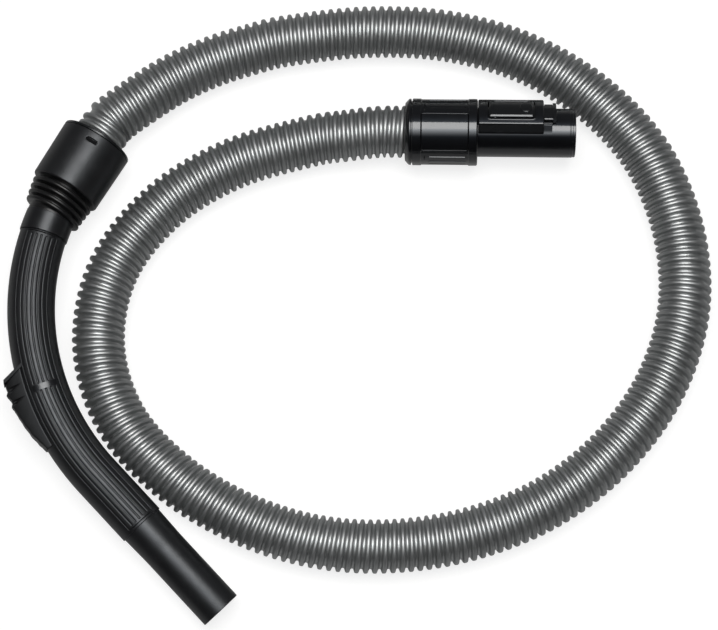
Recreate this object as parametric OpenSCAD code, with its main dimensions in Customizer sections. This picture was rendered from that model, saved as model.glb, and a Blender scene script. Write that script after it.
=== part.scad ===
// Suction hose of a canister vacuum cleaner, lying on a flat surface.
// Curved handle with bellows and swivel collar, ribbed hose, latching machine connector.
// Millimetres. Z is up from the surface, X and Y lie in it.

/* [Hose] */
// Outer diameter over the ribs
hose_d = 40; // [36:0.5:44]
// Free bore
hose_bore = 32; // [28:0.5:34]
// Height of a rib over the valley beside it
rib_h = 2.6; // [1.5:0.1:3.5]
// Number of ribs
rib_count = 198; // [60:1:200]

/* [Handle] */
// Grip tube diameter
grip_d = 35.4; // [33:0.1:40]
// Bend radius of the grip's centre line
grip_bend_r = 188; // [150:1:260]
// Bend of the grip
grip_arc = 64.4; // [40:0.1:80]
// Straight part between the bend and the spigot
straight_len = 49.4; // [20:0.1:90]
// Wall of the handle
handle_wall = 2.4; // [1.8:0.1:4]
// Neck diameter, between bellows and grip
neck_d = 37; // [34:0.1:42]
// Neck length along its centre line
neck_len = 16; // [8:0.5:30]

/* [Wand spigot] */
// Diameter, for 32 mm wands
spigot_d = 32; // [30:0.1:35]
// Length of the true cylinder
spigot_cyl_len = 62; // [40:1:80]
// Length of the cone up to the shoulder
spigot_cone_len = 23.8; // [10:0.1:40]
// Diameter of the cone at the shoulder
spigot_root_d = 33.4; // [31:0.1:36]
// Bore of the spigot
spigot_bore = 28.4; // [24:0.1:30]

/* [Grip inlays] */
// Half angle of an inlay about the tube
inlay_half = 39; // [25:1:44]
// Depth of the inlay's seat
inlay_deep = 1.1; // [0.6:0.1:1.4]
// Angle between grooves about the tube
groove_step = 13; // [8:0.5:16]
// Groove radius
groove_r = 0.9; // [0.5:0.1:1.4]
// Plain band across the grooves, measured along the grip
band_len = 4.4; // [2:0.1:12]
// Where the band lies, as an angle from the neck's bellows end
band_at = 41.2; // [20:0.1:55]

/* [Suction regulator] */
// Width of the slider across the grip
slider_w = 23; // [14:0.5:26]
// How far the slider stands off the grip
slider_h = 9.6; // [5:0.1:14]
// First angle of the slider on the grip's bend
slider_from = 35.2; // [15:0.1:45]
// Angle that the slider covers
slider_span = 18.4; // [12:0.1:24]
// Gap between slider and grip
slider_gap = 0.3; // [0.2:0.05:0.6]
// Length of the air hole along the grip
bleed_len = 8; // [4:0.5:11]
// Width of the air hole
bleed_w = 8; // [4:0.5:12]

/* [Bellows] */
// Length along the centre line
bellows_len = 23.5; // [15:0.5:40]
// Bend as it lies
bellows_bend = 9.3; // [4:0.1:16]
// Number of folds
fold_count = 4; // [3:1:6]
// Diameter of the fold beside the neck
fold_small_d = 46; // [42:0.5:50]
// Diameter of the fold beside the collar
fold_large_d = 49; // [42:0.5:52]
// Bore
bellows_bore = 30; // [26:0.5:32]

/* [Collar] */
// Length
collar_len = 46.8; // [36:0.1:60]
// Diameter at the hose end
collar_mouth_d = 56; // [54:0.5:62]
// Diameter at the bellows end
collar_back_d = 54.2; // [52.6:0.1:60]
// Wall
collar_wall = 2.6; // [1.8:0.1:4]
// Length of a snap window along the collar
window_len = 3.8; // [3:0.1:8]
// Width of a snap window around the collar
window_w = 10.2; // [6:0.1:14]
// Distance of the windows' centres from the mouth
window_at = 9.2; // [7:0.1:12]

/* [Machine cuff] */
// Outer diameter
cuff_d = 51.2; // [50:0.1:56]
// Length without the end cap
cuff_len = 49.6; // [44:0.1:60]
// Length of the tapered end cap
cap_len = 5.6; // [3:0.1:10]
// Depth of the zone between the end bands
cuff_zone_deep = 0.5; // [0.2:0.1:0.8]
// Half angle of a smooth panel
panel_half = 33; // [20:1:40]
// Number of finger grooves on each side
cuff_grooves = 7; // [3:1:8]

/* [Machine tube] */
// Outer diameter
tube_d = 37.4; // [35:0.1:38]
// Wall
tube_wall = 2.4; // [1.8:0.1:3]
// Tube end measured from the cuff's hose end
tube_end = 130.3; // [120:0.1:150]
// Radial running clearance of the swivels
swivel_gap = 0.06; // [0.03:0.01:0.1]

/* [Latch] */
// Length of the latch housing
latch_len = 49.2; // [40:0.1:60]
// Half angle of the housing's top
latch_half = 32.5; // [25:0.5:40]
// Button length
button_len = 34.4; // [20:0.1:38]
// Half angle of the button
button_half = 19.5; // [12:0.5:24]
// How far the button stands over the housing
button_proud = 0.8; // [0.3:0.1:2]
// Gap round the button
button_gap = 0.7; // [0.4:0.1:1.2]
// Diameter of the raised finger pad
pad_d = 9.7; // [6:0.1:12]
// Radius of the hook's flange
hook_r = 23.8; // [22:0.1:24]

/* [Hidden] */
$fn = 64;
sweep_fn = 400;
over = 1;

// Stand of the two ends on the surface
shift_x = 49.5;
shift_y = 36.2;
collar_x = -201;
collar_y = 130.2;
collar_head = -119.6;
collar_tilt = 5;
handle_roll = 7.5;
cuff_x = 35.3;
cuff_y = 138.8;
cuff_head = -1.3;
cuff_tilt = 2.5;
latch_turn = 30;
panel_turn = 17;

collar_pos = [collar_x, collar_y, collar_mouth_d / 2 * cos(collar_tilt)];
cuff_pos = [cuff_x, cuff_y, cuff_d / 2 * cos(cuff_tilt) - cap_len * sin(cuff_tilt)];

// Hose ends
hose_r = hose_d / 2;
seat_gap = 0.4;
seat_r = hose_r + seat_gap;
seat_deep = 24;
out_len = 16;
cuff_wall = 2.1;
cuff_out = 1;
hose_cuff_r = seat_r + cuff_wall;

// Radii
grip_r = grip_d / 2;
grip_in = grip_r - handle_wall;
neck_r = neck_d / 2;
tongue_r = grip_r - 1.1;
tongue_gap = 0.05;
fold_r = 18.2;
fold_root_half = 1.7;
fold_side_half = 1.2;
fold_tip_half = 0.5;
fold_round = 1;
bellows_in = bellows_bore / 2;
collar_r = collar_mouth_d / 2;
collar_r2 = collar_back_d / 2;
collar_in = collar_r2 - collar_wall + 0.2;
cuff_r = cuff_d / 2;
tube_r = tube_d / 2;
tube_in = tube_r - tube_wall;
ring_in = tube_r + swivel_gap;

// Handle's centre line, in the plane of its bend
function heading(a) = [cos(a), sin(a)];
function left_of(a) = [-sin(a), cos(a)];
bellows_r = bellows_len / (bellows_bend * PI / 180);
bellows_c = [collar_len, bellows_r];
neck_pt = bellows_c - bellows_r * left_of(bellows_bend);
grip_c = neck_pt + grip_bend_r * left_of(bellows_bend);
end_head = bellows_bend + grip_arc;
neck_deg = neck_len / grip_bend_r * 180 / PI;
arc_end = grip_c - grip_bend_r * left_of(end_head);
shoulder = arc_end + straight_len * heading(end_head);
lap = 0.5;
lap_step = 0.1;
lap_half = 0.3;
arc_lap = arc_end - lap * heading(end_head);
shoulder_lap = shoulder - lap * heading(end_head);
band_deg = band_len / grip_bend_r * 180 / PI;
seam_gap = 0.35;
seam_deg = seam_gap / grip_bend_r * 180 / PI;
tongue_from = 1.2;
step_wall = 3;
inlay_sunk = 0.05;
inlay_lead = 1.2;
inlay_tail = 4;
inlay_play = 0.1;
inlay_play_at = 0.4;
inlay_from = neck_deg + inlay_lead / grip_bend_r * 180 / PI;
inlay_play_deg = inlay_play / grip_bend_r * 180 / PI;
groove_lead = 1.6;
groove_from_deg = inlay_from + groove_lead / grip_bend_r * 180 / PI;
groove_out_r = grip_r + 0.25;

// Regulator
fin_lean = 2.2;
fin_deg = 0.55;
ridge_r = 1.5;
stem_w = 4.6;
stem_gap = 0.3;
stem_from = slider_from + 8.5;
stem_deg = 2;
travel_deg = 4;
stem_play_deg = 0.1;
clip_w = 9;
clip_t = 1.4;
clip_gap = 0.35;
clip_over_deg = 1.2;
stem_root = 1.2;
slider_under = 8;
slider_clear_deg = 4;
clip_out = grip_bend_r + sqrt(grip_in * grip_in - clip_w * clip_w / 4) - clip_gap;
bleed_from = slider_from + 1.6;
bleed_deg = bleed_len / (grip_bend_r + grip_r) * 180 / PI;

// Swivel at the handle
ring_from = 3.4;
ring_to = 15.4;
ring_gap = 0.05;
flange_r = 24;
flange_to = 19;
axial_gap = 0.4;
cuff_back = 36;
back_wall_at = 41;
lip_at = 2.2;
lip_deep = 0.4;
lip_w = 0.6;
window_foot = 0.5;
window_deep = 2 * (collar_r - hose_cuff_r - window_foot);
tab_gap = 0.45;
tab_sunk = 0.6;
handle_seal_r = hose_cuff_r - 0.5;

// Machine end
cap_small_r = 22.8;
line_w = 0.35;
zone_from = 12.6;
zone_to = 48.8;
inner_cuff_to = 29;
flange_from = 29.6;
flange_w = 2.6;
tube_flange_r = 22.4;
bearing_from = 33;
bearing_to = 49;
cuff_in = 23.4;
cuff_inset = 0.4;
cuff_play = 0.2;
mouth_gap = 0.7;
seal_play = 0.15;
seal_w = 0.5;
seal_r = tube_flange_r - 0.4;
cuff_end = cap_len + cuff_len;
groove_w = 1.1;
groove_deep = 0.5;
groove_first = 48;
groove_deg = 14;
groove_from = 18.5;
groove_to = 47;

panel_in = cuff_r - 1.6;
panel_sunk = 0.1;
panel_play = 0.15;
end_bevel = 1.2;
end_bevel_in = 0.7;

// Latch
latch_from = cuff_end + 1.4;
latch_to = latch_from + latch_len;
latch_r = cuff_r;
latch_in = tube_r + 0.05;
latch_top_w = latch_r * sin(latch_half);
latch_foot_half = 49;
latch_foot_w = tube_r * sin(latch_foot_half);
block_foot = 8;
block_over = 4;
ledge_len = 7.7;
ledge_r = 20.2;
ledge_top_half = 30;
ledge_foot_half = 46;
ledge_in = 0.4;
button_from = latch_from + 7.3;
button_to = button_from + button_len;
button_w = latch_r * sin(button_half);
well_r = 20.3;
plate_r = 22.2;
slot_r = 19.4;
arm_w = 6;
pin_lead = 5;
pin_x = button_from + pin_lead;
pin_radius = 1;
pin_play = 0.05;
pin_end_gap = 0.2;
pin_at = 21.7;
pin_grip = 1.35;
pin_len = 2 * (button_w + button_gap + pin_grip);
boss_half = 2.4;
boss_under = 0.8;
spring_lead = 22;
spring_x = button_from + spring_lead;
spring_r = 2.3;
spring_wire = 0.6;
spring_play = 0.5;
spring_up = 2.2;
spring_end_gap = 0.1;
spring_len = plate_r + spring_up - well_r - spring_end_gap;
pad_x = button_to - 6;
pad_r = latch_r + button_proud + 0.6;
hook_in = 20.7;
hook_gap = 0.4;
hook_reach = 9.4;
hook_to = latch_to + hook_reach;
hook_lip_w = 3;
hook_half = 25.5;
hook_neck_half = 20.5;
hook_step = 0.2;
hook_well_r = 19.2;
hook_well_half = hook_half + 3.5;

// Hose route: hand-chosen points, then both straight ends
function unit(v) = v / norm(v);
function turned(v, head, tilt) =
    let (x = v[0] * cos(tilt) - v[2] * sin(tilt), z = v[0] * sin(tilt) + v[2] * cos(tilt))
    [x * cos(head) - v[1] * sin(head), x * sin(head) + v[1] * cos(head), z];
handle_dir = turned([1, 0, 0], collar_head, collar_tilt);
machine_dir = turned([1, 0, 0], cuff_head, cuff_tilt);
hose_start = collar_pos + seat_deep * handle_dir;
hose_leaves = collar_pos - out_len * handle_dir;
hose_arrives = cuff_pos - out_len * machine_dir;
hose_end = cuff_pos + seat_deep * machine_dir;
// Each point is x, y and the rise over a hose that lies flat
route = [
    [-168, 165, 4.4], [-142, 183, 2.1], [-114, 197, 0.7], [-85, 207, 0], [-55, 214.5, 0],
    [7, 221.5, 0], [70, 218, 0], [129, 200.5, 0], [181.5, 167.5, 0], [222, 120.5, 0],
    [244, 61.5, 0], [246, 0, 0], [226.5, -58.5, 0], [190.5, -107.5, 0],
    [143.5, -144.5, 0], [88.5, -168, 0], [30, -178.5, 0], [-28.5, -176, 0],
    [-85, -159, 0], [-137.5, -128, 0], [-178.5, -84, 0], [-196.5, -28, 0],
    [-187, 31, 0], [-150.5, 80.5, 0], [-98.5, 114, 0], [-39.5, 132, 1],
    [-9, 136.5, 2.9]];
laid = [for (v = route) v + [0, 0, hose_r]];
bend_pts = concat([hose_leaves], laid, [hose_arrives]);
bend_n = len(bend_pts) - 1;
fine = 16;
lead_len = 25;
way_step = 1.5;
function control(i) =
    i < 0 ? hose_leaves + lead_len * handle_dir
    : i > bend_n ? hose_arrives + lead_len * machine_dir
    : bend_pts[i];
function above(v) = [v[0], v[1], max(v[2], hose_r)];
function curve(i, t) =
    let (a = control(i - 1), b = control(i), c = control(i + 1), d = control(i + 2))
    above(0.5 * (2 * b + (c - a) * t + (2 * a - 5 * b + 4 * c - d) * t * t
    + (3 * b - a - 3 * c + d) * t * t * t));
curve_pts = [for (i = [0:bend_n - 1]) for (j = [0:fine - 1]) curve(i, j / fine)];
line = concat([hose_start], curve_pts, [hose_arrives, hose_end]);
line_n = len(line) - 1;
run = [for (i = 0, a = 0; i <= line_n;
    a = a + (i < line_n ? norm(line[i + 1] - line[i]) : 0), i = i + 1) a];
hose_len = run[line_n];
at_run = [for (i = [0:line_n]) [run[i], i]];
function spot(s) =
    let (u = lookup(s, at_run), i = min(floor(u), line_n - 1), f = u - i)
    line[i] * (1 - f) + line[i + 1] * f;
function way(s) = unit(spot(min(s + way_step, hose_len)) - spot(max(s - way_step, 0)));
sides = 8;
bore_rings = 80;
function ring(s, r) =
    let (c = spot(s), t = way(s), l = unit(cross([0, 0, 1], t)), u = cross(t, l))
    [for (k = [0:sides - 1]) c + r * (cos(k * 360 / sides) * l + sin(k * 360 / sides) * u)];
rib_n = 2 * rib_count;
function flat(lists) = [for (part = lists) for (v = part) v];
outer_pts = flat([for (i = [0:rib_n])
    ring(hose_len * i / rib_n, i % 2 == 0 ? hose_r - rib_h : hose_r)]);
bore_pts = flat([for (i = [0:bore_rings - 1])
    ring(hose_len * i / (bore_rings - 1), hose_bore / 2)]);
bore_base = len(outer_pts);
function corner(i, k) = i * sides + k % sides;
outer_faces = flat([for (i = [0:rib_n - 1]) for (k = [0:sides - 1])
    [[corner(i, k), corner(i + 1, k), corner(i, k + 1)],
     [corner(i, k + 1), corner(i + 1, k), corner(i + 1, k + 1)]]]);
bore_faces = flat([for (i = [0:bore_rings - 2]) for (k = [0:sides - 1])
    [[bore_base + corner(i, k), bore_base + corner(i, k + 1), bore_base + corner(i + 1, k)],
     [bore_base + corner(i, k + 1), bore_base + corner(i + 1, k + 1),
      bore_base + corner(i + 1, k)]]]);
last_out = rib_n;
last_in = bore_rings - 1;
end_faces = flat([for (k = [0:sides - 1])
    [[corner(0, k), corner(0, k + 1), bore_base + corner(0, k)],
     [corner(0, k + 1), bore_base + corner(0, k + 1), bore_base + corner(0, k)],
     [corner(last_out, k), bore_base + corner(last_in, k), corner(last_out, k + 1)],
     [corner(last_out, k + 1), bore_base + corner(last_in, k),
      bore_base + corner(last_in, k + 1)]]]);
check_n = 150;
check_pts = [for (i = [0:check_n]) spot(hose_len * i / check_n)];
apart = ceil(check_n * 4 * hose_d / hose_len);
self_gap = min([for (i = [0:check_n - apart]) for (j = [i + apart:check_n])
    norm(check_pts[i] - check_pts[j])]) - hose_d;
echo("hose length", hose_len, "least gap of the hose to itself", self_gap);

// Placing
module on_surface() translate([shift_x, shift_y, 0]) children();
module at_collar()
    on_surface() translate(collar_pos) rotate([0, 0, collar_head])
        rotate([0, -collar_tilt, 0]) rotate([-handle_roll, 0, 0]) children();
module at_cuff()
    on_surface() translate(cuff_pos) rotate([0, 0, cuff_head]) rotate([0, -cuff_tilt, 0])
        children();
module along(p, a) translate([p[0], p[1], 0]) rotate([0, 0, a]) rotate([0, 90, 0]) children();
module rod(x, r, len) translate([x, 0, 0]) rotate([0, 90, 0]) cylinder(r = r, h = len);
module cone(x, r1, r2, len)
    translate([x, 0, 0]) rotate([0, 90, 0]) cylinder(r1 = r1, r2 = r2, h = len);
module sweep(c, a, da, r)
    translate([c[0], c[1], 0]) rotate([0, 0, a - 90]) rotate_extrude(angle = da, $fn = sweep_fn)
        translate([r, 0]) children();
module grip_sweep(a, da) sweep(grip_c, bellows_bend + a, da, grip_bend_r) children();
module section(p, a, len)
    translate([p[0], p[1], 0]) rotate([0, 0, a]) rotate([90, 0, 90]) linear_extrude(height = len)
        children();
module turned_about_x(a) rotate([-a, 0, 0]) children();
module at_latch() at_cuff() turned_about_x(latch_turn) children();

// Hose
module hose()
    color("Silver") on_surface()
        polyhedron(points = concat(outer_pts, bore_pts),
            faces = concat(outer_faces, bore_faces, end_faces), convexity = 10);

// Handle end of the hose: cuff, swivel ring, collar, bellows
module hose_cuff()
    color("DimGray") at_collar() difference() {
        union() {
            rod(-cuff_out, hose_cuff_r, cuff_back + cuff_out);
            rod(ring_to + axial_gap, flange_r, flange_to - ring_to - axial_gap);
        }
        rod(-cuff_out - over, seat_r, seat_deep + cuff_out + over);
        rod(seat_deep - over, hose_bore / 2, cuff_back);
    }

module windows(w, len)
    for (s = [-1, 1])
        translate([window_at, 0, s * collar_r]) cube([len, w, window_deep], center = true);

module collar()
    color("#1c1c1d") at_collar() difference() {
        cone(0, collar_r, collar_r2, collar_len);
        rod(-over, collar_in, back_wall_at + over);
        rod(back_wall_at - over, bellows_in, collar_len);
        windows(window_w, window_len);
        difference() {
            rod(lip_at, collar_r + over, lip_w);
            rod(lip_at - over, collar_r - lip_deep, lip_w + 2 * over);
        }
    }

module swivel_ring()
    color("#2a2a2b") at_collar() difference() {
        union() {
            rod(ring_from, collar_in - ring_gap, ring_to - ring_from);
            intersection() {
                windows(window_w - 2 * tab_gap, window_len - 2 * tab_gap);
                rod(ring_from, collar_r - tab_sunk, ring_to - ring_from);
            }
        }
        rod(ring_from - over, hose_cuff_r + swivel_gap, ring_to);
    }

module swivel_seal()
    color("#101010") at_collar() difference() {
        rod(cuff_back + axial_gap, handle_seal_r, back_wall_at - cuff_back - axial_gap);
        rod(cuff_back, hose_bore / 2, back_wall_at);
    }

module fold_profile(r)
    rotate_extrude() polygon([[bellows_in + fold_round, -fold_root_half],
        [fold_r + fold_round, -fold_root_half], [r - fold_round, -fold_side_half],
        [r, -fold_tip_half], [r, fold_tip_half], [r - fold_round, fold_side_half],
        [fold_r + fold_round, fold_root_half], [bellows_in + fold_round, fold_root_half]]);

module bellows()
    color("#141414") at_collar() difference() {
        union() {
            sweep(bellows_c, 0, bellows_bend, bellows_r) circle(r = fold_r);
            for (i = [0:fold_count - 1]) {
                f = (i + 0.5) / fold_count;
                a = bellows_bend * f;
                p = bellows_c - bellows_r * left_of(a);
                r = (fold_large_d * (1 - f) + fold_small_d * f) / 2;
                along(p, a) fold_profile(r);
            }
        }
        sweep(bellows_c, -over, bellows_bend + 2 * over, bellows_r) circle(r = bellows_in);
    }

// Handle
module neck_sleeve()
    color("#1b1b1c") at_collar() difference() {
        grip_sweep(0, neck_deg - seam_deg) circle(r = neck_r);
        grip_sweep(-over, neck_deg + 2 * over) circle(r = tongue_r + tongue_gap);
    }

module sector(r_in, r_out, half)
    intersection() {
        difference() {
            circle(r = r_out);
            circle(r = r_in);
        }
        polygon([[0, 0], [2 * r_out * tan(half), 2 * r_out], [-2 * r_out * tan(half), 2 * r_out]]);
    }

module inlay_form(r_in, r_out, half, from, tail, side) {
    grip_sweep(from, grip_arc - from) rotate(side) sector(r_in, r_out, half);
    section(arc_lap, end_head, straight_len - tail + lap)
        rotate(side) sector(r_in + lap_step, r_out - lap_step, half - lap_half);
}

module groove_set(side, r)
    rotate(side) for (k = [-2:2])
        translate([groove_out_r * sin(k * groove_step), groove_out_r * cos(k * groove_step)])
            circle(r = r, $fn = 24);

module grip_inlay(side)
    color("#222223") at_collar() difference() {
        inlay_form(grip_r - inlay_deep, grip_r - inlay_sunk, inlay_half, inlay_from + inlay_play_deg,
            inlay_tail, side);
        grip_sweep(groove_from_deg, band_at - band_deg / 2 - groove_from_deg)
            groove_set(side, groove_r);
        grip_sweep(band_at + band_deg / 2, grip_arc - band_at - band_deg / 2)
            groove_set(side, groove_r);
        section(arc_lap, end_head, straight_len - inlay_tail - groove_lead + lap)
            groove_set(side, groove_r - lap_step);
    }
module grip_inlay_top() grip_inlay(0);
module grip_inlay_bottom() grip_inlay(180);

module wall_slot(from, span, w)
    grip_sweep(from, span) translate([grip_in - over, -w / 2]) square([handle_wall + 2 * over, w]);

module handle_tube()
    color("#1b1b1c") at_collar() difference() {
        union() {
            grip_sweep(tongue_from, neck_deg) circle(r = tongue_r);
            grip_sweep(neck_deg, grip_arc - neck_deg) circle(r = grip_r);
            along(arc_lap, end_head) cylinder(r = grip_r - lap_step, h = straight_len + lap);
            along(shoulder_lap, end_head) cylinder(r = spigot_root_d / 2 - lap, h = 2 * lap);
            along(shoulder, end_head) {
                cylinder(r1 = spigot_root_d / 2, r2 = spigot_d / 2, h = spigot_cone_len);
                translate([0, 0, spigot_cone_len]) cylinder(r = spigot_d / 2, h = spigot_cyl_len);
            }
        }
        grip_sweep(0, grip_arc) circle(r = grip_in);
        along(arc_lap, end_head) cylinder(r = grip_in - lap_step, h = straight_len - step_wall + lap);
        along(shoulder, end_head) translate([0, 0, -step_wall - over])
            cylinder(r = spigot_bore / 2, h = spigot_cone_len + spigot_cyl_len + step_wall + 2 * over);
        for (side = [0, 180])
            inlay_form(grip_r - inlay_deep - inlay_play, grip_r + over, inlay_half + inlay_play_at,
                inlay_from, inlay_tail - inlay_play, side);
        wall_slot(bleed_from, bleed_deg, bleed_w);
        wall_slot(stem_from - stem_play_deg, stem_deg + travel_deg + 2 * stem_play_deg,
            stem_w + 2 * stem_gap);
    }

// Suction regulator
function polar(a, r) = grip_c - r * left_of(bellows_bend + a);
function on_slider(v) = polar(slider_from + v[0], grip_bend_r + grip_r + v[1]);
slider_top = [[1.1, -slider_under], [fin_lean + 1.1, slider_h - 2.2], [4, slider_h - 2.6],
    [5.9, slider_h - 2.6], [7.2, slider_h - 2], [8.6, slider_h - 3], [9.9, slider_h - 2.8],
    [11.5, slider_h - 3.1], [13.9, slider_h - 4.8], [16.2, slider_h - 7.2],
    [slider_span, slider_h - 9.2], [slider_span - 0.4, -slider_under]];
fin_top = [[-0.3, -slider_under], [fin_lean, slider_h], [fin_lean + fin_deg, slider_h],
    [1.4, slider_h - 6.6], [2.4, -slider_under]];
ridges = [[4.7, slider_h - 1.7], [7.3, slider_h - 1.9], [9.8, slider_h - 3]];

module slider()
    color("#1d1d1e") at_collar() {
        difference() {
            translate([0, 0, -slider_w / 2]) linear_extrude(height = slider_w) {
                polygon([for (v = slider_top) on_slider(v)]);
                polygon([for (v = fin_top) on_slider(v)]);
                for (v = ridges)
                    translate(on_slider(v)) circle(r = ridge_r, $fn = 24);
            }
            grip_sweep(slider_from - slider_clear_deg, slider_span + 2 * slider_clear_deg)
                circle(r = grip_r + slider_gap);
        }
        grip_sweep(stem_from, stem_deg)
            translate([clip_out - grip_bend_r, -stem_w / 2])
                square([grip_r + stem_root - clip_out + grip_bend_r, stem_w]);
    }

module slider_clip()
    color("#2b2b2c") at_collar()
        grip_sweep(stem_from - clip_over_deg, stem_deg + 2 * clip_over_deg)
            translate([clip_out - clip_t - grip_bend_r, -clip_w / 2]) square([clip_t, clip_w]);

// Machine end
module machine_hose_cuff()
    color("DimGray") at_cuff() difference() {
        rod(cuff_inset, hose_cuff_r, inner_cuff_to - cuff_inset);
        rod(-over, seat_r, seat_deep + over);
        rod(seat_deep - over, hose_bore / 2, inner_cuff_to);
    }

module cuff_cap()
    color("#161617") at_cuff() difference() {
        cone(0, cap_small_r, cuff_r, cap_len);
        rod(-over, hose_cuff_r + tongue_gap, cap_len + 2 * over);
    }

module panel_form(r_in, r_out, half, play, side)
    section([zone_from + play, 0], 0, zone_to - zone_from - 2 * play)
        rotate(side + panel_turn) sector(r_in, r_out, half);

module machine_cuff()
    color("#161617") at_cuff() difference() {
        rod(cap_len + line_w, cuff_r, cuff_len - line_w);
        rod(0, hose_cuff_r + tongue_gap, inner_cuff_to + cuff_play);
        rod(inner_cuff_to - over, cuff_in, bearing_to - inner_cuff_to + over);
        rod(bearing_to - over, tube_r + mouth_gap, cuff_end);
        difference() {
            rod(zone_from, cuff_r + over, zone_to - zone_from);
            rod(zone_from - over, cuff_r - cuff_zone_deep, zone_to - zone_from + 2 * over);
        }
        for (side = [0, 180])
            panel_form(panel_in, cuff_r + over, panel_half + panel_play, panel_play, side);
        for (side = [-1, 1])
            for (k = [0:cuff_grooves - 1])
                turned_about_x(-panel_turn + side * (groove_first + k * groove_deg))
                    translate([groove_from, -groove_w / 2, cuff_r - cuff_zone_deep - groove_deep])
                        cube([groove_to - groove_from, groove_w, groove_deep + cuff_zone_deep + over]);
    }

module cuff_panel(side)
    color("#1a1a1b") at_cuff()
        panel_form(panel_in, cuff_r - panel_sunk, panel_half, 2 * panel_play, side);
module cuff_panel_top() cuff_panel(0);
module cuff_panel_bottom() cuff_panel(180);

module machine_ring()
    color("#3a3a3c") at_cuff() difference() {
        rod(bearing_from, cuff_in - ring_gap, bearing_to - bearing_from - cuff_play);
        rod(bearing_from - over, ring_in, bearing_to);
    }

module machine_tube()
    color("#151516") at_cuff() difference() {
        union() {
            rod(flange_from, tube_r, tube_end - flange_from - end_bevel);
            cone(tube_end - end_bevel, tube_r, tube_r - end_bevel_in, end_bevel);
            rod(flange_from, tube_flange_r, flange_w);
        }
        rod(flange_from - over, tube_in, tube_end);
    }

module machine_seal()
    color("#0e0e0e") at_cuff() difference() {
        rod(flange_from + flange_w + seal_play, seal_r, seal_w);
        rod(flange_from, ring_in, bearing_from);
    }

// Latch, turned about the tube
module latch_block(r_in, r_out, w_top, w_foot)
    intersection() {
        difference() {
            circle(r = r_out);
            circle(r = r_in);
        }
        polygon([[w_foot, block_foot], [w_top, r_out + block_over],
            [-w_top, r_out + block_over], [-w_foot, block_foot]]);
    }

function about_x(r, a) = [r * sin(a), r * cos(a)];
module ledge_block() {
    p = about_x(ledge_r, ledge_top_half);
    q = about_x(tube_r, ledge_foot_half);
    a = p - ledge_in * (q - p);
    b = q + ledge_in * (q - p);
    intersection() {
        difference() {
            circle(r = ledge_r);
            circle(r = latch_in);
        }
        polygon([b, a, [a[0], ledge_r + over], [-a[0], ledge_r + over], [-a[0], a[1]],
            [-b[0], b[1]]]);
    }
}

module strip(r_in, r_out, half_w)
    intersection() {
        difference() {
            circle(r = r_out);
            circle(r = r_in);
        }
        translate([-half_w, block_foot]) square([2 * half_w, r_out]);
    }

module cross_rod(r, len)
    translate([pin_x, 0, pin_at]) rotate([90, 0, 0]) cylinder(r = r, h = len, center = true);

module latch_housing()
    color("#171718") at_latch() difference() {
        union() {
            section([latch_from, 0], 0, latch_len)
                latch_block(latch_in, latch_r, latch_top_w, latch_foot_w);
            section([latch_to - over, 0], 0, ledge_len + over) ledge_block();
        }
        section([button_from - button_gap, 0], 0, button_len + 2 * button_gap)
            strip(well_r, latch_r + block_over, button_w + button_gap);
        section([button_to - hook_gap, 0], 0, latch_to - button_to + hook_gap + over)
            strip(slot_r, hook_r + hook_gap, arm_w + hook_gap);
        section([latch_to, 0], 0, ledge_len + over)
            sector(hook_well_r, ledge_r + over, hook_well_half);
        cross_rod(pin_radius + pin_play, pin_len + 2 * pin_end_gap);
    }

module latch_button()
    color("#1f1f20") at_latch() difference() {
        union() {
            section([button_from, 0], 0, button_len)
                strip(plate_r, latch_r + button_proud, button_w);
            intersection() {
                translate([pad_x, 0, 0]) sphere(r = pad_r);
                translate([pad_x, 0, plate_r + over]) cylinder(r = pad_d / 2, h = pad_r - plate_r);
            }
            translate([pin_x - boss_half, -button_w, pin_at - boss_under])
                cube([2 * boss_half, 2 * button_w, latch_r - pin_at - boss_under]);
        }
        cross_rod(pin_radius + pin_play, pin_len);
        translate([spring_x, 0, plate_r - over])
            cylinder(r = spring_r + spring_play, h = spring_up + over);
    }

module latch_hook()
    color("#1f1f20") at_latch() {
        section([button_to, 0], 0, latch_to + hook_gap - button_to)
            strip(hook_in, hook_r - hook_step, arm_w);
        section([latch_to + hook_gap, 0], 0, hook_to - hook_lip_w - latch_to - hook_gap)
            sector(hook_in, hook_r - hook_step, hook_neck_half);
        section([hook_to - hook_lip_w, 0], 0, hook_lip_w) sector(hook_in, hook_r, hook_half);
    }

module latch_pin()
    color("Silver") at_latch() cross_rod(pin_radius, pin_len);

module latch_spring()
    color("Silver") at_latch() translate([spring_x, 0, well_r]) difference() {
        cylinder(r = spring_r, h = spring_len);
        translate([0, 0, -over]) cylinder(r = spring_r - spring_wire, h = spring_len + 2 * over);
    }

hose();
hose_cuff();
collar();
swivel_ring();
swivel_seal();
bellows();
neck_sleeve();
handle_tube();
grip_inlay_top();
grip_inlay_bottom();
slider();
slider_clip();
machine_hose_cuff();
cuff_cap();
machine_cuff();
cuff_panel_top();
cuff_panel_bottom();
machine_ring();
machine_tube();
machine_seal();
latch_housing();
latch_button();
latch_hook();
latch_pin();
latch_spring();
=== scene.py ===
import math

import bmesh
import bpy
from mathutils import Matrix, Vector


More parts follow.
